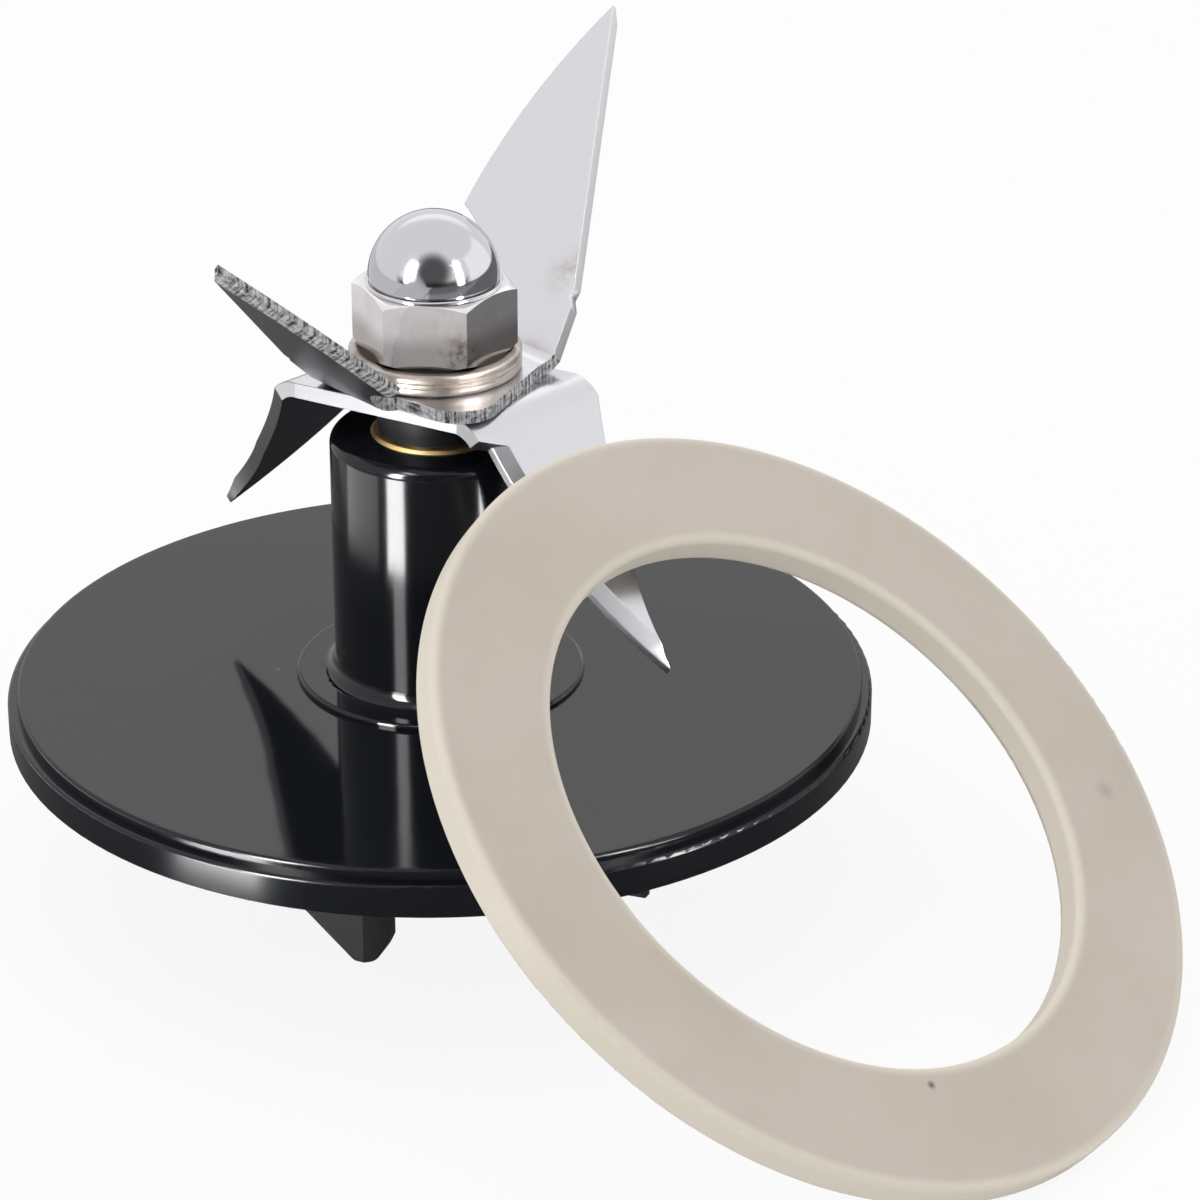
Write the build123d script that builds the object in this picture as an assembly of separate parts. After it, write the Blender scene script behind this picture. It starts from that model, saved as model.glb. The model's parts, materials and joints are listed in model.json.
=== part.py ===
"""Blade assembly of a kitchen blender: a black moulded base with a bearing tower, two bent blades
on a spindle, an acorn nut, and the loose gasket that seals the base against the jar.

Millimetres, +Z up. The origin lies on the spindle's axis, in the plane of the rim's lower edge,
where the base seats in the collar of a jar.
"""

import os
from math import cos, pi, radians, sin, tan

from build123d import *

# Base disc and its rim
DISC_RADIUS = 30.0
RIM_HEIGHT = 3.0
RIM_WALL = 2.4
PLATE_THICKNESS = 2.1
STEP_WIDTH = 0.7
STEP_DROP = 0.8
RIM_EDGE_FILLET = 0.25
PAD_RADIUS = 10.0
PAD_HEIGHT = 0.4

# Bearing tower above the disc and boss below it
TOWER_RADIUS = 7.3
TOWER_HEIGHT = 18.0
TOWER_TOP_FILLET = 0.8
TOWER_FOOT_FILLET = 1.0
BOSS_RADIUS = 7.3
BOSS_LENGTH = 6.0

# Locking feet under the disc
FOOT_COUNT = 4
FOOT_AZIMUTH = -109.0
FOOT_LENGTH = 12.3
FOOT_OUTER_RADIUS = 15.4
FOOT_DEPTH = 2.8
FOOT_RAMP_SIDE = 4.9
FOOT_SQUARE_SIDE = 1.25
FOOT_TIP_HALF = 0.75
FOOT_TIP_FILLET = 0.5
FOOT_RAMP_HEIGHT = 3.4
FOOT_NOSE_HEIGHT = 1.1
FOOT_RAMP_FACE_SET_BACK = 0.6
FOOT_SQUARE_FACE_SET_BACK = 2.4

# Spindle, bushes, seal and thrust washer
JOURNAL_RADIUS = 3.5
RUNNING_CLEARANCE = 0.05
AXIAL_CLEARANCE = 0.12
BUSH_WALL = 0.95
BUSH_LENGTH = 9.0
BUSH_STAND_OUT = 0.2
BUSH_CHAMFER = 0.2
SEAL_LENGTH = 3.0
THRUST_WASHER_RADIUS = 5.6
THRUST_WASHER_THICKNESS = 0.8
STUD_SIDE = 8.0
STUD_LENGTH = 5.0
STUD_CHAMFER = 0.8
THREAD_RADIUS = 3.0
FLATS_WIDTH = 4.6
FIT_CLEARANCE = 0.05
FLATS_ALLOWANCE = 0.3
STUB_LENGTH_IN_NUT = 6.0

# Collar, washer and nut
COLLAR_RADIUS = 4.0
COLLAR_HEIGHT = 2.3
WASHER_RADIUS = 5.85
WASHER_THICKNESS = 1.6
WASHER_EDGE_FILLET = 0.45
NUT_ACROSS_FLATS = 9.7
NUT_HEX_HEIGHT = 4.6
NUT_AZIMUTH = -65.7
NUT_CHAMFER_ANGLE = 30.0
NUT_FOOT_CHAMFER = 0.35
DOME_RADIUS = 4.45
DOME_NECK_HEIGHT = 0.35
NECK_RING_WIDTH = 0.17
NECK_RING_HEIGHT = 0.16

# Ground bevel along the cutting edges of both blades
GROUND_WIDTH = 0.9
GROUND_DEPTH = 0.5

# Upper blade: wings bent up; points as (along the wing from the bend, across it)
UPPER_THICKNESS = 0.9
UPPER_AZIMUTH = 41.5
UPPER_BEND_ANGLE = 40.8
UPPER_BEND_DISTANCE = 5.4
UPPER_BEND_INNER_RADIUS = 1.75
UPPER_BEND_LOW = -4.6
UPPER_BEND_HIGH = 2.6
UPPER_PLATE_CORNER = (4.1, 8.95)
UPPER_PLATE_FILLET = 2.6
UPPER_CORNER = (3.65, -3.2)
UPPER_NOTCH = (4.35, -2.45)
UPPER_BACK_EDGE = (5.15, -2.3)
UPPER_TIP = (25.6, 11.15)
UPPER_BELLY = (14.0, 12.35)
UPPER_SHOULDER = (7.6, 11.6)
UPPER_ROOT = (4.3, 6.1)

# Lower blade: wings bent down
LOWER_THICKNESS = 1.1
LOWER_AZIMUTH = -45.0
LOWER_BEND_ANGLE = 46.0
LOWER_BEND_DISTANCE = 6.0
LOWER_BEND_INNER_RADIUS = 2.0
LOWER_BEND_LOW = -3.9
LOWER_BEND_HIGH = 7.3
LOWER_NOTCH = (0.6, -2.7)
LOWER_CUTTING_BELLY = (11.0, -1.75)
LOWER_TIP = (19.1, 1.2)
LOWER_WAIST_START = (5.0, 4.95)
LOWER_WAIST = (10.5, 2.95)
LOWER_NOSE = (15.2, 1.5)

# Gasket, leaning against the lower blade
GASKET_OUTER_RADIUS = 28.2
GASKET_INNER_RADIUS = 19.7
GASKET_THICKNESS = 2.4
GASKET_EDGE_FILLET = 0.5
GASKET_TILT = 37.8
GASKET_LEAN_AZIMUTH = -36.5
GASKET_CENTRE_X = 24.1
GASKET_CENTRE_Y = -24.95

# Heights worked out from the sizes above
DISC_TOP = RIM_HEIGHT
PLATE_BOTTOM = DISC_TOP - PLATE_THICKNESS
TOWER_TOP = DISC_TOP + TOWER_HEIGHT
BOSS_BOTTOM = -BOSS_LENGTH
FLOOR = -FOOT_LENGTH
FOOT_INNER_RADIUS = FOOT_OUTER_RADIUS - FOOT_DEPTH
BUSH_RADIUS = JOURNAL_RADIUS + RUNNING_CLEARANCE + BUSH_WALL
UPPER_BUSH_TOP = TOWER_TOP + BUSH_STAND_OUT
SHOULDER = UPPER_BUSH_TOP + AXIAL_CLEARANCE
LOWER_BLADE_BOTTOM = SHOULDER + COLLAR_HEIGHT
UPPER_BLADE_BOTTOM = LOWER_BLADE_BOTTOM + LOWER_THICKNESS
WASHER_BOTTOM = UPPER_BLADE_BOTTOM + UPPER_THICKNESS
NUT_BOTTOM = WASHER_BOTTOM + WASHER_THICKNESS
STUB_TOP = NUT_BOTTOM + STUB_LENGTH_IN_NUT
STUD_TOP = BOSS_BOTTOM - AXIAL_CLEARANCE - THRUST_WASHER_THICKNESS


def ring(outer: float, inner: float, bottom: float, height: float) -> Part:
    """A round plate with a round hole on the spindle's axis, standing on the given height."""
    profile = Circle(outer) - Circle(inner)
    return Pos(0, 0, bottom) * extrude(profile, amount=height)


def double_d(radius: float, width: float) -> Sketch:
    """A circle with two flats that face along Y."""
    return Circle(radius) & Rectangle(3 * radius, width)


def base_profile() -> Sketch:
    """Half section of the base in the XZ plane: boss, disc with stepped rim, pad and tower."""
    rim_inner = DISC_RADIUS - RIM_WALL
    step_radius = DISC_RADIUS - STEP_WIDTH
    outline = Polyline(
        (BUSH_RADIUS, BOSS_BOTTOM),
        (BOSS_RADIUS, BOSS_BOTTOM),
        (BOSS_RADIUS, PLATE_BOTTOM),
        (rim_inner, PLATE_BOTTOM),
        (rim_inner, 0),
        (DISC_RADIUS, 0),
        (DISC_RADIUS, DISC_TOP - STEP_DROP),
        (step_radius, DISC_TOP - STEP_DROP),
        (step_radius, DISC_TOP),
        (PAD_RADIUS, DISC_TOP),
        (PAD_RADIUS, DISC_TOP + PAD_HEIGHT),
        (TOWER_RADIUS, DISC_TOP + PAD_HEIGHT),
        (TOWER_RADIUS, TOWER_TOP),
        (BUSH_RADIUS, TOWER_TOP),
        close=True,
    )
    section = make_face(outline)

    def corner(radius: float, height: float) -> Vertex:
        return section.vertices().sort_by_distance((radius, height))[0]

    section = fillet(corner(TOWER_RADIUS, TOWER_TOP), TOWER_TOP_FILLET)
    section = fillet(corner(TOWER_RADIUS, DISC_TOP + PAD_HEIGHT), TOWER_FOOT_FILLET)
    for radius, height in (
        (DISC_RADIUS, DISC_TOP - STEP_DROP),
        (step_radius, DISC_TOP),
        (PAD_RADIUS, DISC_TOP + PAD_HEIGHT),
    ):
        section = fillet(corner(radius, height), RIM_EDGE_FILLET)
    return section


def locking_foot() -> Part:
    """One wedge foot on the +X side: a ramp on one flank, a square flank on the other, a rounded tip."""
    ramp_radius = FOOT_OUTER_RADIUS - FOOT_RAMP_FACE_SET_BACK
    square_radius = FOOT_OUTER_RADIUS - FOOT_SQUARE_FACE_SET_BACK
    edge = Polyline(
        (square_radius, FOOT_SQUARE_SIDE),
        (FOOT_INNER_RADIUS, FOOT_SQUARE_SIDE),
        (FOOT_INNER_RADIUS, -FOOT_RAMP_SIDE),
        (ramp_radius, -FOOT_RAMP_SIDE),
        (FOOT_OUTER_RADIUS, 0),
    )
    nose = RadiusArc((FOOT_OUTER_RADIUS, 0), (square_radius, FOOT_SQUARE_SIDE), -FOOT_SQUARE_FACE_SET_BACK)
    column = extrude(make_face(edge + nose), amount=FOOT_LENGTH + PLATE_BOTTOM)
    column = Pos(0, 0, FLOOR) * column
    flank = Polyline(
        (-FOOT_TIP_HALF, FLOOR),
        (FOOT_TIP_HALF, FLOOR),
        (FOOT_SQUARE_SIDE, FLOOR + FOOT_NOSE_HEIGHT),
        (FOOT_SQUARE_SIDE, PLATE_BOTTOM),
        (-FOOT_RAMP_SIDE, PLATE_BOTTOM),
        (-FOOT_RAMP_SIDE, FLOOR + FOOT_RAMP_HEIGHT),
        close=True,
    )
    face = make_face(flank)
    face = fillet(face.vertices().sort_by(Axis.Y)[:2], FOOT_TIP_FILLET)
    wedge = extrude(Plane.YZ * face, amount=2 * FOOT_OUTER_RADIUS)
    return column & wedge


def base_housing() -> Part:
    """The black moulding: stepped disc, tower, boss and the ring of locking feet."""
    body = revolve(Plane.XZ * base_profile(), axis=Axis.Z)
    foot = locking_foot()
    for index in range(FOOT_COUNT):
        body += Rot(0, 0, FOOT_AZIMUTH + index * 360 / FOOT_COUNT) * foot
    return body


def bush(bottom: float) -> Part:
    """A plain brass bush with chamfered outer ends, pressed into the base."""
    sleeve = ring(BUSH_RADIUS, JOURNAL_RADIUS + RUNNING_CLEARANCE, bottom, BUSH_LENGTH)
    ends = sleeve.edges().filter_by(GeomType.CIRCLE).sort_by(SortBy.RADIUS)[-2:]
    return chamfer(ends, BUSH_CHAMFER)


def spindle() -> Part:
    """The steel shaft: square drive stud, journal, double-D seat for the blades and stub for the nut."""
    stud = extrude(Rectangle(STUD_SIDE, STUD_SIDE), amount=STUD_LENGTH)
    stud = chamfer(stud.faces().sort_by(Axis.Z)[0].edges(), STUD_CHAMFER)
    stud = Pos(0, 0, STUD_TOP - STUD_LENGTH) * stud
    journal = Pos(0, 0, STUD_TOP) * extrude(Circle(JOURNAL_RADIUS), amount=SHOULDER - STUD_TOP)
    seat_height = WASHER_BOTTOM + FLATS_ALLOWANCE - SHOULDER
    seat = Pos(0, 0, SHOULDER) * extrude(double_d(THREAD_RADIUS, FLATS_WIDTH), amount=seat_height)
    stub_bottom = SHOULDER + seat_height
    stub = Pos(0, 0, stub_bottom) * extrude(Circle(THREAD_RADIUS), amount=STUB_TOP - stub_bottom)
    return stud + journal + seat + stub


def cap_nut() -> Part:
    """Acorn nut: chamfered hexagon, neck with a ring and hemispherical dome over a blind bore."""
    corner_radius = NUT_ACROSS_FLATS / 2 / cos(pi / 6)
    hexagon = extrude(RegularPolygon(corner_radius, 6), amount=NUT_HEX_HEIGHT)
    flat_radius = NUT_ACROSS_FLATS / 2
    slope = tan(radians(NUT_CHAMFER_ANGLE))
    turned = Polyline(
        (0, 0),
        (corner_radius - NUT_FOOT_CHAMFER, 0),
        (corner_radius, NUT_FOOT_CHAMFER * slope),
        (corner_radius, NUT_HEX_HEIGHT - (corner_radius - flat_radius) * slope),
        (flat_radius, NUT_HEX_HEIGHT),
        (0, NUT_HEX_HEIGHT),
        close=True,
    )
    hexagon = hexagon & revolve(Plane.XZ * make_face(turned), axis=Axis.Z)
    neck_top = NUT_HEX_HEIGHT + DOME_NECK_HEIGHT
    ring_radius = DOME_RADIUS + NECK_RING_WIDTH
    ring_top = NUT_HEX_HEIGHT + NECK_RING_HEIGHT
    half_dome = Polyline(
        (0, 0),
        (ring_radius, 0),
        (ring_radius, ring_top),
        (DOME_RADIUS, ring_top),
        (DOME_RADIUS, neck_top),
    ).edges()
    crown = CenterArc((0, neck_top), DOME_RADIUS, 0, 90)
    spine = Line((0, neck_top + DOME_RADIUS), (0, 0))
    dome = revolve(Plane.XZ * make_face(half_dome + [crown, spine]), axis=Axis.Z)
    bore = extrude(Circle(THREAD_RADIUS + FIT_CLEARANCE), amount=STUB_LENGTH_IN_NUT + FIT_CLEARANCE)
    return Pos(0, 0, NUT_BOTTOM) * Rot(0, 0, NUT_AZIMUTH) * (hexagon + dome - bore)


def bent_wing(flat: Part, thickness: float, bend_angle: float, distance: float, inner_radius: float,
              low: float, high: float) -> Part:
    """A wing bent up out of the hub plate along a line across it.

    The flat wing lies on z = 0, with x along the wing from the end of the bend. The bend's centre
    is above the sheet.
    """
    centre_height = thickness + inner_radius
    strip = Pos((low + high) / 2, -thickness / 2 - inner_radius) * Rectangle(high - low, thickness)
    bend_plane = Plane(origin=(distance, 0, centre_height), x_dir=(0, 1, 0), z_dir=(1, 0, 0))
    bend_axis = Axis((distance, 0, centre_height), (0, -1, 0))
    bend = revolve(bend_plane * strip, axis=bend_axis, revolution_arc=bend_angle)
    angle = radians(bend_angle)
    start = (distance + centre_height * sin(angle), 0, centre_height * (1 - cos(angle)))
    wing_plane = Plane(origin=start, x_dir=(cos(angle), 0, sin(angle)), z_dir=(-sin(angle), 0, cos(angle)))
    return bend + wing_plane * flat


def ground(outline: Face, thickness: float, edge_point: tuple[float, float]) -> Part:
    """The flat sheet of a wing, ground from below along the cutting edge that passes the given point."""
    sheet = extrude(outline, amount=thickness)
    underside = sheet.faces().sort_by(Axis.Z)[0]
    edge = underside.edges().sort_by_distance(edge_point)[0]
    return chamfer(edge, GROUND_WIDTH, GROUND_DEPTH, reference=underside)


def upper_wing_outline() -> Face:
    """Flat outline of an upper wing: straight back with a relief notch, bellied edge, hollow root."""
    back = Polyline(
        (0, UPPER_BEND_HIGH),
        (0, UPPER_BEND_LOW),
        UPPER_CORNER,
        UPPER_NOTCH,
        UPPER_BACK_EDGE,
        UPPER_TIP,
    )
    cutting = ThreePointArc(UPPER_TIP, UPPER_BELLY, UPPER_SHOULDER)
    root = ThreePointArc(UPPER_SHOULDER, UPPER_ROOT, (0, UPPER_BEND_HIGH))
    return make_face(back + cutting + root)


def lower_wing_outline() -> Face:
    """Flat outline of a lower wing: waisted back, bellied cutting edge with a relief notch."""
    start = Polyline((0, LOWER_BEND_HIGH), (0, LOWER_BEND_LOW), LOWER_NOTCH)
    cutting = ThreePointArc(LOWER_NOTCH, LOWER_CUTTING_BELLY, LOWER_TIP)
    nose = ThreePointArc(LOWER_TIP, LOWER_NOSE, LOWER_WAIST)
    waist = ThreePointArc(LOWER_WAIST, LOWER_WAIST_START, (0, LOWER_BEND_HIGH))
    return make_face(start + cutting + nose + waist)


def with_both_wings(plate: Face, thickness: float, wing: Part) -> Part:
    """Hub plate with the wing on one side and the same wing turned half round on the other."""
    return extrude(plate, amount=thickness) + wing + Rot(0, 0, 180) * wing


def seat_hole(thickness: float) -> Part:
    """The double-D hole that keys a blade to the spindle."""
    hole = double_d(THREAD_RADIUS + FIT_CLEARANCE, FLATS_WIDTH + 2 * FIT_CLEARANCE)
    return extrude(hole, amount=thickness)


def upper_blade() -> Part:
    """The blade on top, wings up, with a rounded plate corner beside the root of each wing."""
    flat = ground(upper_wing_outline(), UPPER_THICKNESS, UPPER_BELLY)
    wing = bent_wing(flat, UPPER_THICKNESS, UPPER_BEND_ANGLE, UPPER_BEND_DISTANCE, UPPER_BEND_INNER_RADIUS,
                     UPPER_BEND_LOW, UPPER_BEND_HIGH)
    corner_x, corner_y = UPPER_PLATE_CORNER
    outline = Polyline(
        (UPPER_BEND_DISTANCE, UPPER_BEND_LOW),
        (UPPER_BEND_DISTANCE, UPPER_BEND_HIGH),
        (corner_x, corner_y),
        (-UPPER_BEND_DISTANCE, -UPPER_BEND_LOW),
        (-UPPER_BEND_DISTANCE, -UPPER_BEND_HIGH),
        (-corner_x, -corner_y),
        close=True,
    )
    plate = make_face(outline)
    for side in (1, -1):
        corner = plate.vertices().sort_by_distance((side * corner_x, side * corner_y))[0]
        plate = fillet(corner, UPPER_PLATE_FILLET)
    sheet = with_both_wings(plate, UPPER_THICKNESS, wing)
    sheet = Rot(0, 0, UPPER_AZIMUTH) * sheet - seat_hole(UPPER_THICKNESS)
    return Pos(0, 0, UPPER_BLADE_BOTTOM) * sheet


def lower_blade() -> Part:
    """The blade below, drawn wings up and turned over, so that its wings point down."""
    outline = mirror(lower_wing_outline(), Plane.XZ)
    belly_x, belly_y = LOWER_CUTTING_BELLY
    low, high = -LOWER_BEND_HIGH, -LOWER_BEND_LOW
    flat = ground(outline, LOWER_THICKNESS, (belly_x, -belly_y))
    wing = bent_wing(flat, LOWER_THICKNESS, LOWER_BEND_ANGLE, LOWER_BEND_DISTANCE, LOWER_BEND_INNER_RADIUS,
                     low, high)
    distance = LOWER_BEND_DISTANCE
    plate = Polyline((distance, low), (distance, high), (-distance, -low), (-distance, -high), close=True)
    sheet = with_both_wings(make_face(plate), LOWER_THICKNESS, wing)
    sheet = Pos(0, 0, LOWER_THICKNESS) * Rot(180, 0, 0) * sheet
    sheet = Rot(0, 0, LOWER_AZIMUTH) * sheet - seat_hole(LOWER_THICKNESS)
    return Pos(0, 0, LOWER_BLADE_BOTTOM) * sheet


def jar_gasket() -> Part:
    """The rubber ring, tilted, with its lowest edge on the floor."""
    seal = ring(GASKET_OUTER_RADIUS, GASKET_INNER_RADIUS, 0, GASKET_THICKNESS)
    seal = fillet(seal.edges(), GASKET_EDGE_FILLET)
    tilt = radians(GASKET_TILT)
    edge_drop = (GASKET_OUTER_RADIUS - GASKET_EDGE_FILLET) * sin(tilt)
    height = FLOOR + edge_drop + GASKET_EDGE_FILLET * (1 - cos(tilt))
    leaning = Rot(0, 0, GASKET_LEAN_AZIMUTH) * Rot(0, GASKET_TILT, 0) * seal
    return Pos(GASKET_CENTRE_X, GASKET_CENTRE_Y, height) * leaning


def build() -> dict[str, Part]:
    """All pieces by node name."""
    journal_bore = JOURNAL_RADIUS + RUNNING_CLEARANCE
    stub_bore = THREAD_RADIUS + FIT_CLEARANCE
    upper_bush_bottom = UPPER_BUSH_TOP - BUSH_LENGTH
    washer = ring(WASHER_RADIUS, stub_bore, WASHER_BOTTOM, WASHER_THICKNESS)
    washer_edges = washer.edges().filter_by(GeomType.CIRCLE).sort_by(SortBy.RADIUS)[-2:]
    return {
        "base_housing": base_housing(),
        "upper_bush": bush(upper_bush_bottom),
        "shaft_seal": ring(BUSH_RADIUS, journal_bore, upper_bush_bottom - SEAL_LENGTH, SEAL_LENGTH),
        "lower_bush": bush(BOSS_BOTTOM),
        "spindle": spindle(),
        "thrust_washer": ring(THRUST_WASHER_RADIUS, journal_bore, STUD_TOP, THRUST_WASHER_THICKNESS),
        "spacer_collar": ring(COLLAR_RADIUS, stub_bore, SHOULDER, COLLAR_HEIGHT),
        "lower_blade": lower_blade(),
        "upper_blade": upper_blade(),
        "blade_washer": fillet(washer_edges, WASHER_EDGE_FILLET),
        "cap_nut": cap_nut(),
        "jar_gasket": jar_gasket(),
    }


os.makedirs("parts", exist_ok=True)
for node, shape in build().items():
    export_step(shape, f"parts/{node}.step")
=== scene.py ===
"""Dressed model of a kitchen blender's blade assembly: black base, crossed blades, acorn nut and gasket.

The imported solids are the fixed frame. Pieces whose solids already have the right form keep them and get
a finish. The nut, its washer and both blades are modelled here with softer edges and stand for their
solids. Lengths are metres and angles degrees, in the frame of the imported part: the origin lies on the
spindle's axis, in the plane of the rim's lower edge, and +Z points to the nut.
"""

import json
import logging
import math
from collections.abc import Callable, Iterator
from contextlib import contextmanager
from dataclasses import dataclass
from enum import Enum

import bpy
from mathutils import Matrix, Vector

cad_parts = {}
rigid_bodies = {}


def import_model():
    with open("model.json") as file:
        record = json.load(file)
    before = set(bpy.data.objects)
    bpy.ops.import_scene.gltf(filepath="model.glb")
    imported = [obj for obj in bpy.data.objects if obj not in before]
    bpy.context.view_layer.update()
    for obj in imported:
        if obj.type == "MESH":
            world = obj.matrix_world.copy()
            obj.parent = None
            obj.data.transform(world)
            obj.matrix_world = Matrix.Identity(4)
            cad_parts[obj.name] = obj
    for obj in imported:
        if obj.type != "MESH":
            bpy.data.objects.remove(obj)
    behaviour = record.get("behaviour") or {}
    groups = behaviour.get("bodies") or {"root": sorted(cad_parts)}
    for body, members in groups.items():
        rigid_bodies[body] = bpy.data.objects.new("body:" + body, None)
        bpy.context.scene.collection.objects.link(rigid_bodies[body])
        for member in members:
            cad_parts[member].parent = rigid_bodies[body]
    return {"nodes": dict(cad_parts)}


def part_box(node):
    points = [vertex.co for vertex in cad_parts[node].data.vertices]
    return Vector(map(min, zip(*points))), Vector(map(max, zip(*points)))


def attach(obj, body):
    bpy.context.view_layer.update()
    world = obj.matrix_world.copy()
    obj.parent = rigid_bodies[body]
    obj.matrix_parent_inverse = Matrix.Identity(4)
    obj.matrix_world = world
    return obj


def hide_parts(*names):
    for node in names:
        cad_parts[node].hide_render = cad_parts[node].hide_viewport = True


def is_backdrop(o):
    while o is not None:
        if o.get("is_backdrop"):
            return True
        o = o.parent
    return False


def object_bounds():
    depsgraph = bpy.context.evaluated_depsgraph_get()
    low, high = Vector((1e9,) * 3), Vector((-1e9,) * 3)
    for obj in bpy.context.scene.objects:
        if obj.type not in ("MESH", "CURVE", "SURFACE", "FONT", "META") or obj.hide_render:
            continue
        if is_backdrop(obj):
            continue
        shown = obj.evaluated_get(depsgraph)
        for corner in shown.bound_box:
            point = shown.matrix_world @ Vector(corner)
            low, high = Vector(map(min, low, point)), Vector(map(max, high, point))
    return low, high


Span = tuple[float, float]
Point = tuple[float, float, float]
Colour = tuple[float, float, float, float]
Patches = tuple[float, float, float]
Profile = list[tuple[float, float]]
Slots = tuple[tuple[str, str], ...]
Piece = bpy.types.Object
Solids = dict[str, Piece]
Face = bpy.types.MeshPolygon
Material = bpy.types.Material
Materials = dict[str, Material]
Tree = bpy.types.NodeTree
Node = bpy.types.Node
Socket = bpy.types.NodeSocket
Number = float | Socket
Place = Point | Vector | Socket
Tone = Colour | Socket

MM = 0.001
LOG = logging.getLogger("blade_assembly")
WHITE: Colour = (1.0, 1.0, 1.0, 1.0)
MERGE_DISTANCE = 0.0001 * MM
FLAT_ANGLE = 0.3
EDGE_SEGMENTS = 3

# Sockets that a Mix node uses when it mixes colours: its factor and both colours, and the result
COLOUR_MIX_INPUTS = (0, 6, 7)
COLOUR_MIX_OUTPUT = 2


class Body(Enum):
    """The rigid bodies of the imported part."""

    BASE = "base"
    ROTOR = "rotor"


class RayKind(Enum):
    """Light Path outputs of the rays that see the pale background."""

    CAMERA = "Is Camera Ray"
    GLOSSY = "Is Glossy Ray"
    TRANSMISSION = "Is Transmission Ray"


# Mesh tools

def deselect_all() -> None:
    """Leaves object mode and clears the selection, because an operator acts on all that is selected."""
    if bpy.context.object is not None and bpy.context.object.mode != "OBJECT":
        bpy.ops.object.mode_set(mode="OBJECT")
    bpy.ops.object.select_all(action="DESELECT")


def make_active(piece: Piece) -> None:
    """Selects one piece alone and makes it the active one.

    Args:
        piece: the object to work on.
    """
    deselect_all()
    piece.select_set(True)
    bpy.context.view_layer.objects.active = piece


def named(name: str) -> Piece:
    """Names the object that was just added, and moves its place into its mesh.

    Args:
        name: the object's name, and its mesh's.

    Returns:
        The object, at the origin.
    """
    piece = bpy.context.object
    piece.name = piece.data.name = name
    bpy.ops.object.transform_apply(location=True, rotation=True, scale=True)
    return piece


@contextmanager
def editing(piece: Piece) -> Iterator[None]:
    """Holds a piece in edit mode while the block runs.

    Args:
        piece: the object to edit.
    """
    make_active(piece)
    bpy.ops.object.mode_set(mode="EDIT")
    yield
    bpy.ops.object.mode_set(mode="OBJECT")


def paint_faces(piece: Piece, material: Material, wanted: Callable[[Face], bool]) -> int:
    """Gives the faces that pass a test a material of their own.

    Args:
        piece: the object whose faces are tested, in object mode.
        material: the material, which becomes the piece's last.
        wanted: takes a face and says whether it gets the material.

    Returns:
        The number of those faces.
    """
    piece.data.materials.append(material)
    with editing(piece):
        bpy.ops.mesh.select_mode(type="FACE")
        bpy.ops.mesh.select_all(action="DESELECT")
    count = 0
    for face in piece.data.polygons:
        face.select = wanted(face)
        count += face.select
    piece.active_material_index = len(piece.data.materials) - 1
    with editing(piece):
        bpy.ops.object.material_slot_assign()
    return count


def apply_modifier(piece: Piece, kind: str, **settings: object) -> None:
    """Adds a modifier, sets it and applies it.

    Args:
        piece: the object that gets it.
        kind: the modifier's type, such as BEVEL.
        settings: values of the modifier's own properties.
    """
    make_active(piece)
    bpy.ops.object.modifier_add(type=kind)
    modifier = piece.modifiers[-1]
    for name, value in settings.items():
        setattr(modifier, name, value)
    bpy.ops.object.modifier_apply(modifier=modifier.name)


def combine(piece: Piece, tool: Piece, operation: str) -> None:
    """Cuts, joins or trims a piece with another solid, which is used up.

    Args:
        piece: the object that is kept.
        tool: the object that works on it.
        operation: UNION, DIFFERENCE or INTERSECT.
    """
    apply_modifier(piece, "BOOLEAN", object=tool, operation=operation, solver="EXACT")
    bpy.data.objects.remove(tool, do_unlink=True)


def shade_smooth(piece: Piece, angle: float) -> None:
    """Shades a piece smooth, with edges sharper than an angle in degrees left sharp."""
    make_active(piece)
    bpy.ops.object.shade_smooth_by_angle(angle=math.radians(angle))


def soften(piece: Piece, width: float, angle: float) -> None:
    """Rounds a piece's sharp edges a little and shades the rest smooth.

    Args:
        piece: the object to finish.
        width: width of the rounded edges.
        angle: edges sharper than this many degrees are rounded.
    """
    apply_modifier(piece, "BEVEL", width=width, segments=EDGE_SEGMENTS, limit_method="ANGLE",
                   angle_limit=math.radians(angle))
    shade_smooth(piece, angle)
    apply_modifier(piece, "WEIGHTED_NORMAL", keep_sharp=True)


def arc(centre: tuple[float, float], radius: float, start: float, end: float, steps: int) -> Profile:
    """Points along an arc of a half section.

    Args:
        centre: radius and height of the arc's centre.
        radius: the arc's radius.
        start: first angle in degrees, from the outward direction.
        end: last angle in degrees.
        steps: number of stretches between the points.

    Returns:
        The points as (radius, height), both ends included.
    """
    angles = [math.radians(start + (end - start) * step / steps) for step in range(steps + 1)]
    return [(centre[0] + radius * math.cos(a), centre[1] + radius * math.sin(a)) for a in angles]


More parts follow.
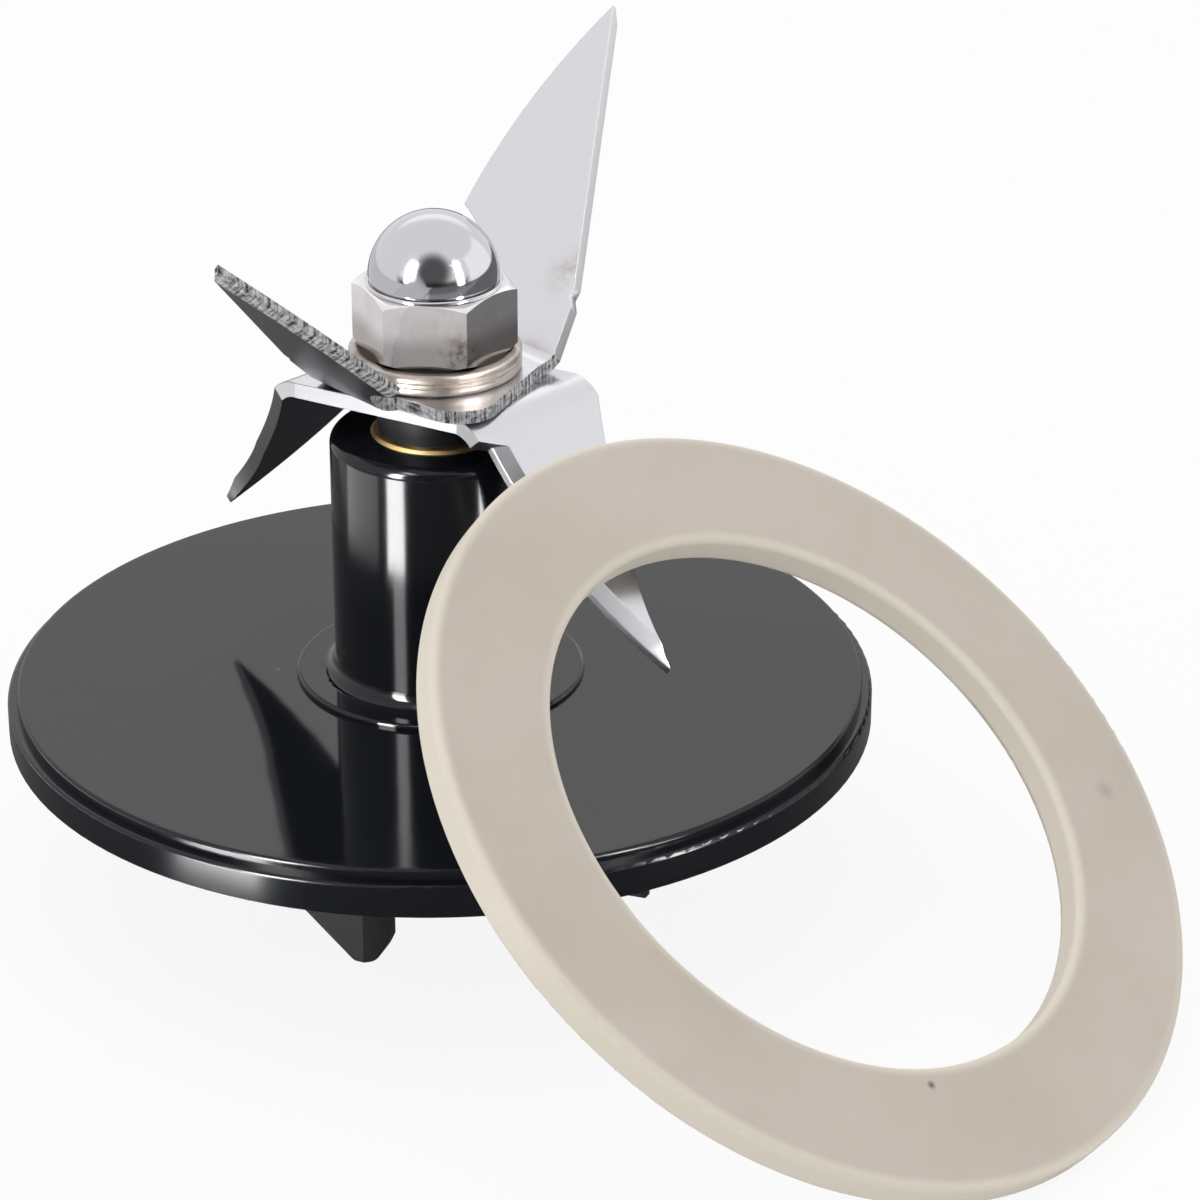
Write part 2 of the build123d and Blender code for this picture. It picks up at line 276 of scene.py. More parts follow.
def turned(name: str, profile: Profile, sides: int = 128, ring: bool = False) -> Piece:
    """A turned body: a circle extruded from point to point of its half section.

    Args:
        name: the new object's name.
        profile: points as (radius, height). A solid's profile ends on the axis.
        sides: corners round the axis.
        ring: whether the section closes on its first point and leaves a hole.

    Returns:
        The new object, at the origin, with its place in its mesh.
    """
    radius, height = profile[0]
    deselect_all()
    fill = "NOTHING" if ring else "NGON"
    bpy.ops.mesh.primitive_circle_add(vertices=sides, radius=radius, fill_type=fill, location=(0, 0, height))
    piece = named(name)
    path = profile[1:] + profile[:1] if ring else profile[1:]
    with editing(piece):
        bpy.ops.mesh.select_mode(type="EDGE")
        bpy.ops.mesh.select_all(action="SELECT")
        if not ring:
            bpy.ops.mesh.region_to_loop()
        for next_radius, next_height in path:
            rise = {"value": (0, 0, next_height - height)}
            bpy.ops.mesh.extrude_edges_move(TRANSFORM_OT_translate=rise)
            if next_radius == 0:
                bpy.ops.mesh.merge(type="CENTER")
                break
            scale = next_radius / radius
            bpy.ops.transform.resize(value=(scale, scale, 1), center_override=(0, 0, next_height))
            radius, height = next_radius, next_height
        bpy.ops.mesh.select_all(action="SELECT")
        bpy.ops.mesh.remove_doubles(threshold=MERGE_DISTANCE)
        bpy.ops.mesh.normals_make_consistent(inside=False)
    return piece


def copy_of(node: Piece, name: str) -> Piece:
    """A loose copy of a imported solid, with its triangles merged back into flat faces.

    Args:
        node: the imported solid.
        name: the copy's name.

    Returns:
        The copy, at the origin, free of the node's body.
    """
    make_active(node)
    bpy.ops.object.duplicate()
    bpy.ops.object.parent_clear(type="CLEAR_KEEP_TRANSFORM")
    piece = named(name)
    bpy.ops.mesh.customdata_custom_splitnormals_clear()
    piece.data.materials.clear()
    with editing(piece):
        bpy.ops.mesh.select_all(action="SELECT")
        bpy.ops.mesh.remove_doubles(threshold=MERGE_DISTANCE)
        bpy.ops.mesh.dissolve_limited(angle_limit=math.radians(FLAT_ANGLE))
    return piece


# Shader tools

class NodeSheet:
    """A node tree with short calls that add nodes and join their sockets."""

    def __init__(self, tree: Tree) -> None:
        """Takes over a node tree and clears it.

        Args:
            tree: the tree of a material, a world or a node group.
        """
        self.tree = tree
        tree.nodes.clear()

    def add(self, kind: str, **settings: object) -> Node:
        """A new node.

        Args:
            kind: the node's type, such as ShaderNodeMath.
            settings: values of the node's own properties.

        Returns:
            The node.
        """
        node = self.tree.nodes.new(kind)
        for name, value in settings.items():
            setattr(node, name, value)
        return node

    def feed(self, socket: Socket, value: object) -> None:
        """Joins an input to an output, or sets it to a constant.

        Args:
            socket: the input.
            value: the output's socket, or the constant.
        """
        if isinstance(value, Socket):
            self.tree.links.new(value, socket)
        else:
            socket.default_value = value

    def put(self, node: Node, **values: object) -> Node:
        """Feeds a node's inputs, given by name with _ for a space.

        Args:
            node: the node to set.
            values: inputs' names and what goes into them.

        Returns:
            The same node.
        """
        for name, value in values.items():
            self.feed(node.inputs[name.replace("_", " ")], value)
        return node

    def math(self, operation: str, first: Number, second: Number = 0.0) -> Socket:
        """A Math node on two values.

        Args:
            operation: the node's operation, such as MULTIPLY.
            first: a number or a socket.
            second: a number or a socket.

        Returns:
            The result's socket.
        """
        node = self.add("ShaderNodeMath", operation=operation)
        for socket, value in zip(node.inputs, (first, second)):
            self.feed(socket, value)
        return node.outputs[0]

    def vector(self, operation: str, first: Place, second: Place | None = None) -> Node:
        """A Vector Math node on one or two vectors.

        Args:
            operation: the node's operation, such as LENGTH.
            first: a vector or a socket.
            second: a vector or a socket, where the operation takes two.

        Returns:
            The node.
        """
        node = self.add("ShaderNodeVectorMath", operation=operation)
        self.feed(node.inputs[0], first)
        if second is not None:
            self.feed(node.inputs[1], second)
        return node

    def ramp(self, value: Socket, low: float, high: float, out_low: float, out_high: float) -> Socket:
        """A smooth step from one value to another.

        Args:
            value: the socket that is read.
            low: where the step starts.
            high: where it ends.
            out_low: the result at the start.
            out_high: the result at the end.

        Returns:
            The result's socket.
        """
        node = self.add("ShaderNodeMapRange", interpolation_type="SMOOTHSTEP")
        self.put(node, Value=value, From_Min=low, From_Max=high, To_Min=out_low, To_Max=out_high)
        return node.outputs["Result"]

    def blend(self, mask: Socket, first: Tone, second: Tone) -> Socket:
        """A colour mixed from two by a mask.

        Args:
            mask: 0 gives the first colour, 1 the second.
            first: a colour or a socket.
            second: a colour or a socket.

        Returns:
            The mixed colour's socket.
        """
        node = self.add("ShaderNodeMix", data_type="RGBA")
        for index, value in zip(COLOUR_MIX_INPUTS, (mask, first, second)):
            self.feed(node.inputs[index], value)
        return node.outputs[COLOUR_MIX_OUTPUT]

    def either(self, share: Socket, first: Socket, second: Socket) -> Socket:
        """A shader mixed from two.

        Args:
            share: 0 gives the first shader, 1 the second.
            first: a shader's socket.
            second: a shader's socket.

        Returns:
            The mixed shader's socket.
        """
        node = self.put(self.add("ShaderNodeMixShader"), Fac=share)
        self.feed(node.inputs[1], first)
        self.feed(node.inputs[2], second)
        return node.outputs["Shader"]

    def place(self) -> Socket:
        """The point on the object, in metres."""
        return self.add("ShaderNodeTexCoord").outputs["Object"]

    def split(self, point: Socket) -> Node:
        """A node that gives a point's X, Y and Z."""
        return self.put(self.add("ShaderNodeSeparateXYZ"), Vector=point)

    def reach(self, split: Node) -> Socket:
        """How far a point lies from the upright axis through the origin.

        Args:
            split: the node that gives its X and Y.

        Returns:
            The distance's socket.
        """
        flat = self.put(self.add("ShaderNodeCombineXYZ"), X=split.outputs["X"], Y=split.outputs["Y"])
        return self.vector("LENGTH", flat.outputs["Vector"]).outputs["Value"]


def effect_group(name: str, inputs: dict[str, float]) -> tuple[NodeSheet, Node, Node]:
    """An empty shader node group with a place, some numbers and one mask.

    Args:
        name: the group's name.
        inputs: its number inputs and their usual values.

    Returns:
        The group's sheet, its input node and its output node.
    """
    group = bpy.data.node_groups.new(name, "ShaderNodeTree")
    sheet = NodeSheet(group)
    group.interface.new_socket("Place", in_out="INPUT", socket_type="NodeSocketVector")
    for label, value in inputs.items():
        socket = group.interface.new_socket(label, in_out="INPUT", socket_type="NodeSocketFloat")
        socket.default_value = value
    group.interface.new_socket("Mask", in_out="OUTPUT", socket_type="NodeSocketFloat")
    return sheet, sheet.add("NodeGroupInput"), sheet.add("NodeGroupOutput")


class Effects:
    """Shader node groups that several finishes share, each built once."""

    def __init__(self) -> None:
        """Builds the groups."""
        self.blotches = self._blotches()
        self.specks = self._specks()
        self.spot = self._spot()

    def _blotches(self) -> Tree:
        """Soft uneven patches: a noise with a threshold and a soft edge.

        Returns:
            The group, with inputs Scale, Level and Softness.
        """
        sheet, source, result = effect_group("blotches", {"Scale": 400.0, "Level": 0.5, "Softness": 0.2})
        noise = sheet.add("ShaderNodeTexNoise")
        sheet.put(noise, Vector=source.outputs["Place"], Scale=source.outputs["Scale"], Detail=4.0,
                  Roughness=0.6)
        above = sheet.math("SUBTRACT", noise.outputs["Fac"], source.outputs["Level"])
        soft = sheet.math("DIVIDE", above, source.outputs["Softness"])
        clamped = sheet.put(sheet.add("ShaderNodeClamp"), Value=sheet.math("ADD", soft, 0.5))
        sheet.put(result, Mask=clamped.outputs["Result"])
        return sheet.tree

    def _specks(self) -> Tree:
        """Scattered small specks: the middles of some cells of a cell pattern.

        Returns:
            The group, with inputs Scale, Size and Share.
        """
        sheet, source, result = effect_group("specks", {"Scale": 300.0, "Size": 0.1, "Share": 0.3})
        cells = sheet.add("ShaderNodeTexVoronoi", feature="F1")
        sheet.put(cells, Vector=source.outputs["Place"], Scale=source.outputs["Scale"])
        near = sheet.math("LESS_THAN", cells.outputs["Distance"], source.outputs["Size"])
        shades = sheet.put(sheet.add("ShaderNodeSeparateColor"), Color=cells.outputs["Color"])
        chosen = sheet.math("LESS_THAN", shades.outputs["Red"], source.outputs["Share"])
        sheet.put(result, Mask=sheet.math("MULTIPLY", near, chosen))
        return sheet.tree

    def _spot(self) -> Tree:
        """A soft round spot about a point, given as three numbers.

        Returns:
            The group, with inputs X, Y, Z and Radius.
        """
        sheet, source, result = effect_group("spot", {"X": 0.0, "Y": 0.0, "Z": 0.0, "Radius": 3.0 * MM})
        centre = sheet.add("ShaderNodeCombineXYZ")
        sheet.put(centre, X=source.outputs["X"], Y=source.outputs["Y"], Z=source.outputs["Z"])
        gap = sheet.vector("DISTANCE", source.outputs["Place"], centre.outputs["Vector"])
        share = sheet.math("DIVIDE", gap.outputs["Value"], source.outputs["Radius"])
        sheet.put(result, Mask=sheet.ramp(share, 0.0, 1.0, 1.0, 0.0))
        return sheet.tree


class Surface(NodeSheet):
    """A new material: its node sheet with one shader, and the shared effects at hand."""

    def __init__(self, name: str, effects: Effects) -> None:
        """Makes the material and its shader.

        Args:
            name: the material's name.
            effects: the shared node groups.
        """
        self.material = bpy.data.materials.new(name)
        self.material.use_nodes = True
        super().__init__(self.material.node_tree)
        self.effects = effects
        self.shader = self.add("ShaderNodeBsdfPrincipled")
        self.put(self.add("ShaderNodeOutputMaterial"), Surface=self.shader.outputs["BSDF"])

    def shade(self, **values: object) -> None:
        """Feeds the shader's inputs, given by name with _ for a space."""
        self.put(self.shader, **values)

    def mask(self, group: Tree, **values: float) -> Socket:
        """Places a shared effect.

        Args:
            group: one of the shared node groups.
            values: the group's inputs.

        Returns:
            The effect's mask.
        """
        node = self.add("ShaderNodeGroup", node_tree=group)
        return self.put(node, Place=self.place(), **values).outputs["Mask"]

    def blotches(self, patches: Patches) -> Socket:
        """A mask of soft uneven patches, given as scale, level and softness."""
        scale, level, softness = patches
        return self.mask(self.effects.blotches, Scale=scale, Level=level, Softness=softness)

    def spot(self, centre: Point, radius: float) -> Socket:
        """A mask of one soft round spot."""
        x, y, z = centre
        return self.mask(self.effects.spot, X=x, Y=y, Z=z, Radius=radius)

    def layers(self, ground: Colour, *coats: tuple[Socket, Colour]) -> Tone:
        """A colour with others laid over it.

        Args:
            ground: the colour below.
            coats: masks and colours, in the order in which they go on.

        Returns:
            The resulting colour.
        """
        tone: Tone = ground
        for mask, colour in coats:
            tone = self.blend(mask, tone, colour)
        return tone

    def relief(self, height: Socket, strength: float, depth: float) -> None:
        """Gives the shader a fine relief.

        Args:
            height: the relief's height, from 0 to 1.
            strength: how much of it shows.
            depth: the height of a full step.
        """
        node = self.put(self.add("ShaderNodeBump"), Height=height, Strength=strength, Distance=depth)
        self.shade(Normal=node.outputs["Normal"])

    def ripple(self, scale: float, strength: float, depth: float) -> None:
        """Gives the shader a fine uneven relief.

        Args:
            scale: how close the bumps lie.
            strength: how much of them shows.
            depth: the height of a full step.
        """
        noise = self.put(self.add("ShaderNodeTexNoise"), Vector=self.place(), Scale=scale, Detail=2.0)
        self.relief(noise.outputs["Fac"], strength, depth)


# Finishes

@dataclass(frozen=True)
class Finish:
    """A surface finish: the constants of its shader. Kinds of finish add what changes over the surface."""

    name: str
    colour: Colour
    roughness: float
    metallic: float = 0.0
    ior: float = 1.5
    specular: float = 0.5

    def material(self, effects: Effects) -> Material:
        """The finish as a material.

        Args:
            effects: the shared node groups.

        Returns:
            A new material.
        """
        surface = Surface(self.name, effects)
        surface.shade(Base_Color=self.colour, Roughness=self.roughness, Metallic=self.metallic)
        surface.shade(IOR=self.ior, Specular_IOR_Level=self.specular)
        self.dress(surface)
        return surface.material

    def dress(self, surface: Surface) -> None:
        """Adds what changes over the surface. A plain finish adds nothing."""


@dataclass(frozen=True)
class MouldedPlastic(Finish):
    """Glossy black moulding: a polished and dusty disc, a more satin tower, a scuffed rim and worn feet."""

    tower_foot: Span = (3.4 * MM, 5.0 * MM)
    tower_roughness: float = 0.12
    haze: Patches = (120.0, 0.55, 0.3)
    haze_dulling: float = 0.03
    feet_top: Span = (-1.2 * MM, -0.6 * MM)
    feet_roughness: float = 0.5
    feet_colour: Colour = (0.03, 0.03, 0.031, 1.0)
    dust_scale: float = 260.0
    dust_size: float = 0.05
    dust_share: float = 0.12
    dust_colour: Colour = (0.10, 0.10, 0.105, 1.0)
    rim_start: Span = (28.6 * MM, 29.1 * MM)
    rim_dulling: float = 0.1
    scuffs: Patches = (700.0, 0.75, 0.06)
    scuff_colour: Colour = (0.35, 0.35, 0.36, 1.0)
    wave_scale: float = 90.0
    wave_strength: float = 0.08
    wave_depth: float = 0.4 * MM

    def dress(self, surface: Surface) -> None:
        """Adds the satin tower, the dust, the scuffed rim, the worn feet and a faint waviness.

        Args:
            surface: the material to dress.
        """
        split = surface.split(surface.place())
        satin = surface.ramp(split.outputs["Z"], *self.tower_foot, self.roughness, self.tower_roughness)
        haze = surface.blotches(self.haze)
        feet = surface.ramp(split.outputs["Z"], *self.feet_top, 1.0, 0.0)
        on_rim = surface.ramp(surface.reach(split), *self.rim_start, 0.0, 1.0)
        rough = satin
        duller = ((haze, self.haze_dulling), (feet, self.feet_roughness), (on_rim, self.rim_dulling))
        for mask, dulling in duller:
            rough = surface.math("ADD", rough, surface.math("MULTIPLY", mask, dulling))
        surface.shade(Roughness=rough)
        scuffs = surface.math("MULTIPLY", on_rim, surface.blotches(self.scuffs))
        dust = surface.mask(surface.effects.specks, Scale=self.dust_scale, Size=self.dust_size,
                            Share=self.dust_share)
        coats = ((dust, self.dust_colour), (feet, self.feet_colour), (scuffs, self.scuff_colour))
        surface.shade(Base_Color=surface.layers(self.colour, *coats))
        surface.ripple(self.wave_scale, self.wave_strength, self.wave_depth)


@dataclass(frozen=True)
class SoftRubber(Finish):
    """Beige moulded rubber ring: faint clouds, a dark speck, a smudge, and a painted highlight on its rounded
    edges.
    """

    clouds: Patches = (60.0, 0.52, 0.5)
    cloud_colour: Colour = (0.58, 0.52, 0.45, 1.0)
    speck_colour: Colour = (0.16, 0.13, 0.10, 1.0)
    speck_place: Point = (31.5 * MM, -42.3 * MM, -4.8 * MM)
    speck_radius: float = 0.42 * MM
    smudge_place: Point = (45.0 * MM, -13.1 * MM, 0.2 * MM)
    smudge_radius: float = 1.1 * MM
    smudge_strength: float = 0.25
    # Painted highlight: a paler cream on the rounded edges and side wall, standing in for soft light on the
    # fillets.
    edge_highlight_colour: Colour = (0.86, 0.80, 0.685, 1.0)
    edge_highlight_strength: float = 0.8
    ring_centre: Point = (24.1 * MM, -24.95 * MM, 4.783 * MM)
    ring_tilt: float = 37.8
    ring_azimuth: float = -36.5
    outer_edge: Span = (27.3 * MM, 28.2 * MM)
    inner_edge: Span = (19.7 * MM, 20.6 * MM)
    skin_scale: float = 1800.0
    skin_strength: float = 0.12
    skin_depth: float = 0.05 * MM

    def dress(self, surface: Surface) -> None:
        """Adds clouds, both marks, the painted highlight on the rounded edges and a fine skin.

        Args:
            surface: the material to dress.
        """
        smudge = surface.spot(self.smudge_place, self.smudge_radius)
        coats = (
            (surface.blotches(self.clouds), self.cloud_colour),
            (surface.spot(self.speck_place, self.speck_radius), self.speck_colour),
            (surface.math("MULTIPLY", smudge, self.smudge_strength), self.speck_colour),
            # The last coat is the painted highlight on the rounded edges.
            (self._painted_edge_highlight(surface), self.edge_highlight_colour),
        )
        surface.shade(Base_Color=surface.layers(self.colour, *coats))
        surface.ripple(self.skin_scale, self.skin_strength, self.skin_depth)

    def _painted_edge_highlight(self, surface: Surface) -> Socket:
        """A soft mask of the painted highlight on the ring's rounded edges, by the distance from its own
        axis.

        Args:
            surface: the material to dress.

        Returns:
            The mask.
        """
        tilt, turn = math.radians(self.ring_tilt), math.radians(self.ring_azimuth)
        axis = (math.sin(tilt) * math.cos(turn), math.sin(tilt) * math.sin(turn), math.cos(tilt))
        offset = surface.vector("SUBTRACT", surface.place(), self.ring_centre)
        across = surface.vector("CROSS_PRODUCT", offset.outputs["Vector"], axis)
        reach = surface.vector("LENGTH", across.outputs["Vector"]).outputs["Value"]
        outer = surface.ramp(reach, *self.outer_edge, 0.0, self.edge_highlight_strength)
        inner = surface.ramp(reach, *self.inner_edge, self.edge_highlight_strength, 0.0)
        return surface.math("MAXIMUM", outer, inner)


@dataclass(frozen=True)
class SheetSteel(Finish):
    """Satin stainless sheet with a faint grain and a brown stain beside the wing's notch."""

    stain_colour: Colour = (0.36, 0.28, 0.22, 1.0)
    stain_place: Point = (8.9 * MM, 5.9 * MM, 30.6 * MM)
    stain_radius: float = 3.2 * MM
    stain_patches: Patches = (650.0, 0.5, 0.25)
    stain_strength: float = 0.6
    grain: Patches = (900.0, 0.5, 0.8)
    grain_spread: float = 0.08

    def dress(self, surface: Surface) -> None:
        """Adds the stain and the grain.

        Args:
            surface: the material to dress.
        """
        near = surface.spot(self.stain_place, self.stain_radius)
        stain = surface.math("MULTIPLY", near, surface.blotches(self.stain_patches))
        stain = surface.math("MULTIPLY", stain, self.stain_strength)
        surface.shade(Base_Color=surface.blend(stain, self.colour, self.stain_colour))
        grain = surface.math("MULTIPLY", surface.blotches(self.grain), self.grain_spread)
        surface.shade(Roughness=surface.math("ADD", grain, self.roughness - self.grain_spread / 2))


@dataclass(frozen=True)
class GroundEdge(Finish):
    """Ground edge of the sheet: rough, with a fine hatch across it."""

    dark_colour: Colour = (0.02, 0.02, 0.022, 1.0)
    azimuth: float = 41.5
    hatch_scale: float = 4200.0
    hatch_step: Span = (0.42, 0.60)
    flecks: Patches = (2600.0, 0.5, 0.12)
    relief_strength: float = 0.5
    relief_depth: float = 0.05 * MM

    def dress(self, surface: Surface) -> None:
        """Adds the hatch across the edge, broken up by flecks, and its relief.

        Args:
            surface: the material to dress.
        """
        turn = math.radians(self.azimuth)
        along = surface.vector("DOT_PRODUCT", surface.place(), (math.cos(turn), math.sin(turn), 0.0))
        hatch = surface.add("ShaderNodeTexNoise", noise_dimensions="1D")
        surface.put(hatch, W=along.outputs["Value"], Scale=self.hatch_scale, Detail=3.0)
        lines = surface.ramp(hatch.outputs["Fac"], *self.hatch_step, 0.0, 1.0)
        flecks = surface.blotches(self.flecks)
        marks = surface.math("MULTIPLY", surface.math("ADD", lines, flecks), 0.5)
        surface.shade(Base_Color=surface.blend(marks, self.colour, self.dark_colour))
        surface.relief(marks, self.relief_strength, self.relief_depth)


@dataclass(frozen=True)
class TarnishedSteel(Finish):
    """Turned steel gone brown in patches, with painted shadow under the nut and fine lines round it."""

    tarnish: Patches = (420.0, 0.52, 0.35)
    tarnish_colour: Colour = (0.38, 0.32, 0.27, 1.0)
    # Painted shadow: this colour darkens the washer's top where the nut stands on it.
    grime_and_shadow_colour: Colour = (0.05, 0.04, 0.03, 1.0)
    nut_shadow_reach: Span = (5.15 * MM, 5.45 * MM)
    line_pitch: float = 0.22 * MM
    line_strength: float = 0.25
    line_depth: float = 0.02 * MM

    def dress(self, surface: Surface) -> None:
        """Adds the brown patches, a painted shadow close to the nut and the turning lines.

        Args:
            surface: the material to dress.
        """
        split = surface.split(surface.place())
        # Painted shadow of the nut on the washer's top, by the distance from the axis.
        nut_shadow = surface.ramp(surface.reach(split), *self.nut_shadow_reach, 1.0, 0.0)
        tarnish = surface.blotches(self.tarnish)
        coats = ((tarnish, self.tarnish_colour), (nut_shadow, self.grime_and_shadow_colour))
        surface.shade(Base_Color=surface.layers(self.colour, *coats))
        turns = surface.math("MULTIPLY", split.outputs["Z"], math.tau / self.line_pitch)
        surface.relief(surface.math("SINE", turns), self.line_strength, self.line_depth)


@dataclass(frozen=True)
class PolishedChrome(Finish):
    """Polished plating: faint smears, a greyer dome, a foot that is darker towards the bottom, and grime at
    one corner.
    """

    smears: Patches = (260.0, 0.52, 0.3)
    smear_colour: Colour = (0.78, 0.71, 0.70, 1.0)
    smear_dulling: float = 0.08
    dome_colour: Colour = (0.60, 0.60, 0.63, 1.0)
    dome_start: Span = (31.6 * MM, 32.2 * MM)
    foot_colour: Colour = (0.40, 0.37, 0.36, 1.0)
    foot_fade: Span = (28.4 * MM, 30.2 * MM)
    foot_strength: float = 0.85
    # Here the colour is real grime only, at one corner of the hexagon.
    grime_and_shadow_colour: Colour = (0.10, 0.08, 0.06, 1.0)
    grime_place: Point = (2.0 * MM, -5.0 * MM, 28.2 * MM)
    grime_radius: float = 2.2 * MM
    grime_patches: Patches = (1500.0, 0.55, 0.2)

    def dress(self, surface: Surface) -> None:
        """Adds the smears, the tones of dome and foot, and the grime.

        Args:
            surface: the material to dress.
        """
        smears = surface.blotches(self.smears)
        near = surface.spot(self.grime_place, self.grime_radius)
        height = surface.split(surface.place()).outputs["Z"]
        coats = (
            (smears, self.smear_colour),
            (surface.ramp(height, *self.dome_start, 0.0, 1.0), self.dome_colour),
            (surface.ramp(height, *self.foot_fade, self.foot_strength, 0.0), self.foot_colour),
            (surface.math("MULTIPLY", near, surface.blotches(self.grime_patches)), self.grime_and_shadow_colour),
        )
        surface.shade(Base_Color=surface.layers(self.colour, *coats))
        dulling = surface.math("MULTIPLY", smears, self.smear_dulling)
        surface.shade(Roughness=surface.math("ADD", dulling, self.roughness))


@dataclass(frozen=True)
class Finishes:
    """Every finish of the assembly: one for each slot of the record, and those of the worked edges."""

    black_plastic: Finish = MouldedPlastic("black_moulded_plastic", (0.008, 0.009, 0.012, 1.0), 0.07,
                                           ior=1.38)
    brass: Finish = Finish("turned_brass", (1.0, 0.72, 0.32, 1.0), 0.42, 1.0)
    seal_rubber: Finish = Finish("black_seal_rubber", (0.02, 0.02, 0.02, 1.0), 0.6)
    steel: Finish = Finish("turned_steel", (0.55, 0.55, 0.56, 1.0), 0.3, 1.0)
    dark_collar: Finish = Finish("blackened_steel", (0.008, 0.008, 0.009, 1.0), 0.5, specular=0.2)
    blade_steel: Finish = SheetSteel("satin_blade_steel", (0.69, 0.69, 0.72, 1.0), 0.22, 1.0)
    # Painted shade: the undersides are the same steel, darkened to stand for the dark surroundings they
    # reflect.
    painted_shade_underside: Finish = Finish("underside_steel_painted_shade", (0.20, 0.20, 0.22, 1.0), 0.3, 1.0)
    honed_edge: Finish = Finish("honed_blade_edge", (0.30, 0.30, 0.31, 1.0), 0.3, 1.0)
    sheared_edge: Finish = Finish("sheared_blade_edge", (0.78, 0.78, 0.80, 1.0), 0.34, 1.0)
    dull_edge: Finish = Finish("dull_blade_edge", (0.25, 0.25, 0.26, 1.0), 0.45, 1.0)
    ground_edge: Finish = GroundEdge("ground_blade_edge", (0.66, 0.66, 0.67, 1.0), 0.6, specular=0.2)
    washer_steel: Finish = TarnishedSteel("tarnished_washer_steel", (0.66, 0.61, 0.57, 1.0), 0.42, 1.0)
    nut_edge: Finish = Finish("worn_nut_edge", (0.86, 0.86, 0.87, 1.0), 0.4, 1.0)
    nut_chrome: Finish = PolishedChrome("polished_nut_chrome", (0.86, 0.86, 0.87, 1.0), 0.07, 1.0)
    gasket_rubber: Finish = SoftRubber("beige_gasket_rubber", (0.664, 0.596, 0.535, 1.0), 0.55, specular=0.12)


# Sub-assemblies

def give_finishes(body: Body, nodes: Solids, slots: Slots, materials: Materials) -> None:
    """Gives solids that keep their form their finish.

    Args:
        body: the body that carries them.
        nodes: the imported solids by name.
        slots: solids and the slots of their finish.
        materials: materials by slot.
    """
    for node, slot in slots:
        nodes[node].material_slots[0].material = materials[slot]
        LOG.info("%s on the %s: finish %s", node, body.value, materials[slot].name)


@dataclass
class Base:
    """The black moulding with its bushes, seal and the loose gasket: solids that only need their finish."""

    nodes: Solids
    slots: Slots = (
        ("base_housing", "black_plastic"),
        ("upper_bush", "brass"),
        ("lower_bush", "brass"),
        ("shaft_seal", "seal_rubber"),
        ("jar_gasket", "gasket_rubber"),
    )

    def dress(self, materials: Materials) -> None:
        """Gives each solid its finish."""
        give_finishes(Body.BASE, self.nodes, self.slots, materials)


@dataclass
class AcornNut:
    """The domed nut: a hexagon turned down at both ends, with a neck ring and a dome."""

    bottom: float
    azimuth: float = -65.7
    sides: int = 6
    across_flats: float = 9.7 * MM
    hexagon_height: float = 4.6 * MM
    bar_overhang: float = 0.5 * MM
    corner_room: float = 0.01 * MM
    top_share: float = 0.985
    chamfer_angle: float = 30.0
    foot_chamfer: float = 0.6 * MM
    dome_radius: float = 4.45 * MM
    dome_sink: float = 0.5 * MM
    dome_end: float = 84.0
    dome_steps: int = 28
    neck_height: float = 0.35 * MM
    ring_radius: float = 4.62 * MM
    ring_height: float = 0.16 * MM
    ring_wall: float = 0.096 * MM
    ring_chamfer: float = 0.06 * MM
    groove_depth: float = 0.2 * MM
    groove_foot: float = 0.03 * MM
    groove_top: float = 0.06 * MM
    edge_width: float = 0.09 * MM
    edge_angle: float = 40.0
    edge_area: float = 1.5e-6
    edge_slope: float = 0.3

    def build(self, chrome: Material, edge: Material) -> Piece:
        """The nut's mesh, with its finishes.

        Args:
            chrome: the plating's material.
            edge: the material of the worn edges.

        Returns:
            The finished nut, in its place.
        """
        corner = self.across_flats / 2 / math.cos(math.pi / self.sides)
        top = self.bottom + self.hexagon_height
        deselect_all()
        bpy.ops.mesh.primitive_cylinder_add(
            vertices=self.sides, radius=corner, depth=self.hexagon_height + 2 * self.bar_overhang,
            location=(0, 0, self.bottom + self.hexagon_height / 2),
            rotation=(0, 0, math.radians(self.azimuth + 180 / self.sides)),
        )
        nut = named("cap_nut_polished")
        combine(nut, self._turning_envelope(corner, top), "INTERSECT")
        soften(nut, self.edge_width, self.edge_angle)
        nut.data.materials.append(chrome)
        paint_faces(nut, edge, self._is_worn)
        dome = self._dome(top)
        dome.data.materials.append(chrome)
        make_active(nut)
        dome.select_set(True)
        bpy.ops.object.join()
        return nut

    def _is_worn(self, face: Face) -> bool:
        """Whether a face is a narrow strip along one of the hexagon's upright edges."""
        return face.area < self.edge_area and abs(face.normal.z) < self.edge_slope

    def _turning_envelope(self, corner: float, top: float) -> Piece:
        """The turned solid that takes the hexagon's corners off at both ends.

        Args:
            corner: distance from the axis to a corner.
            top: height of the hexagon's top face.

        Returns:
            The solid.
        """
        flat = self.across_flats / 2
        slope = math.tan(math.radians(self.chamfer_angle))
        clear = corner + self.corner_room
        profile = [
            (corner - self.foot_chamfer, self.bottom),
            (clear, self.bottom + self.foot_chamfer * slope),
            (clear, top - (corner - flat) * slope),
            (flat * self.top_share, top),
            (0, top),
        ]
        return turned("nut_turning_envelope", profile)

    def _dome(self, top: float) -> Piece:
        """The neck ring and the dome, from inside the hexagon upwards.

        Args:
            top: height of the hexagon's top face.

        Returns:
            The turned piece, shaded smooth.
        """
        neck_top = top + self.neck_height
        groove = self.dome_radius - self.groove_depth
        profile = [
            (self.ring_radius, top - self.dome_sink),
            (self.ring_radius, top + self.ring_wall),
            (self.ring_radius - self.ring_chamfer, top + self.ring_height),
            (groove, top + self.ring_height + self.groove_foot),
            (groove, neck_top - self.groove_top),
        ]
        profile += arc((0, neck_top), self.dome_radius, 0, self.dome_end, self.dome_steps)
        profile.append((0, neck_top + self.dome_radius))
        dome = turned("nut_dome", profile)
        shade_smooth(dome, self.edge_angle)
        return dome


